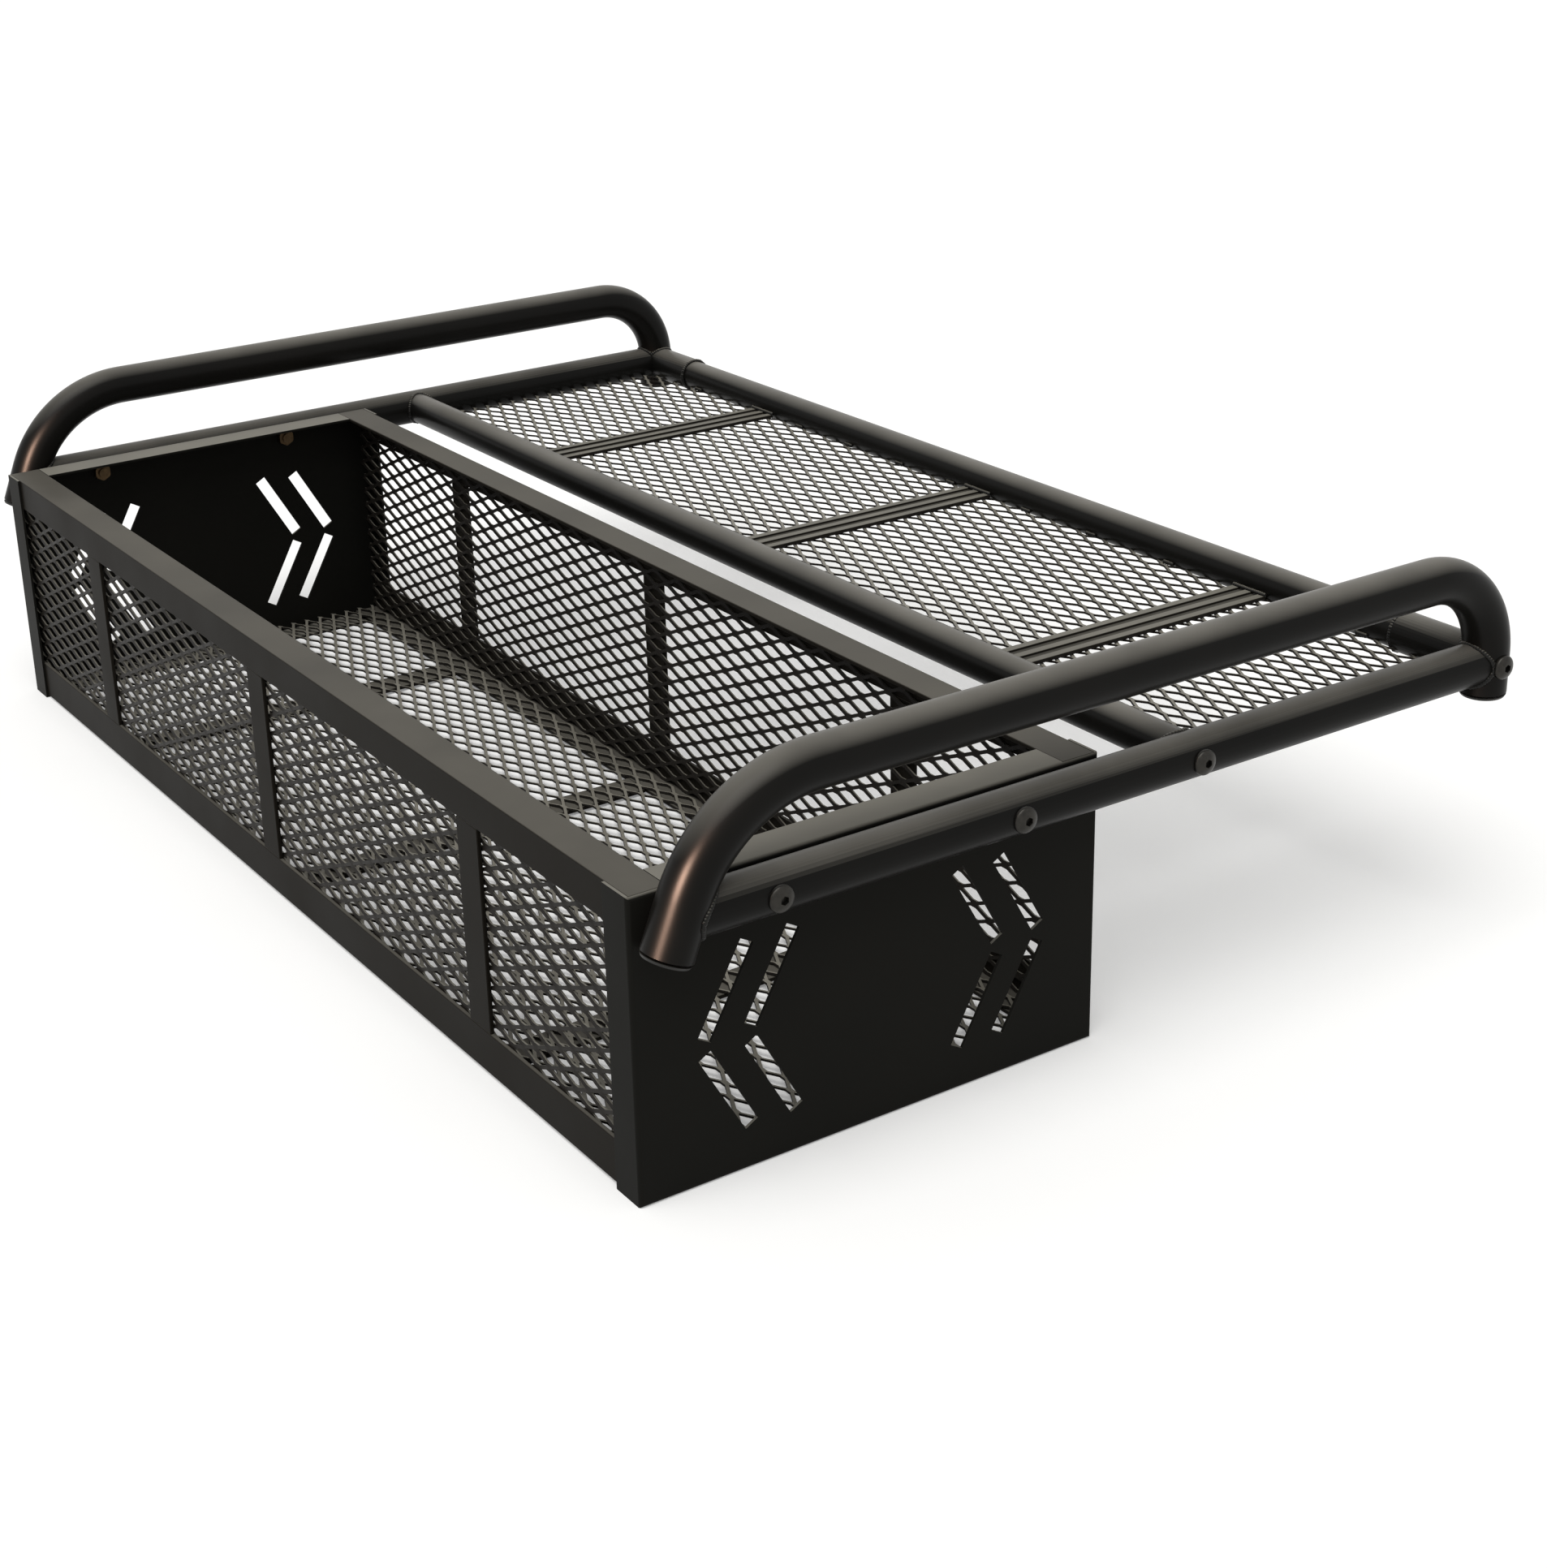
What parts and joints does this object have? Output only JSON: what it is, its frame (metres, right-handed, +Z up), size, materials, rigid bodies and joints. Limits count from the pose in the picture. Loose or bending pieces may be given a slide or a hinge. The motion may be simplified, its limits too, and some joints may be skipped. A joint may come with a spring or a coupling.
{
  "type": "atv rear cargo rack",
  "caption": "Tubular rear cargo rack with a raised hoop along each side, an expanded mesh deck in front and a mesh drop basket behind.",
  "frame": {"origin": "under the middle of the rack's outline, in the plane of the basket's underside", "axes": "+X to the rack's right, +Y forward towards the vehicle's front, +Z up"},
  "size_m": [1.0918, 0.6854, 0.2718],
  "materials": {
    "coated_tube": "satin black powder coat on steel tube",
    "coated_sheet": "matt black powder coat on steel sheet and bar",
    "coated_mesh": "matt black powder coat on expanded steel mesh",
    "fastener_steel": "dark zinc plate"
  },
  "bodies": {
    "root": {"hoop_rails": "coated_tube", "side_tubes": "coated_tube", "cross_tube_middle": "coated_tube", "cross_tube_front": "coated_tube", "corner_sleeves": "coated_tube", "deck_strip_left": "coated_sheet", "deck_strip_centre": "coated_sheet", "deck_strip_right": "coated_sheet", "end_panel_left": "coated_sheet", "end_panel_right": "coated_sheet", "rim_angle_rear": "coated_sheet", "rim_angle_front": "coated_sheet", "bottom_rail_rear": "coated_sheet", "bottom_rail_front": "coated_sheet", "upright_rear_left": "coated_sheet", "upright_rear_centre": "coated_sheet", "upright_rear_right": "coated_sheet", "upright_front_left": "coated_sheet", "upright_front_centre": "coated_sheet", "upright_front_right": "coated_sheet", "floor_strip_left": "coated_sheet", "floor_strip_centre": "coated_sheet", "floor_strip_right": "coated_sheet", "deck_mesh": "coated_mesh", "basket_mesh_rear": "coated_mesh", "basket_mesh_front": "coated_mesh", "basket_mesh_floor": "coated_mesh"}
  },
  "joints": []
}
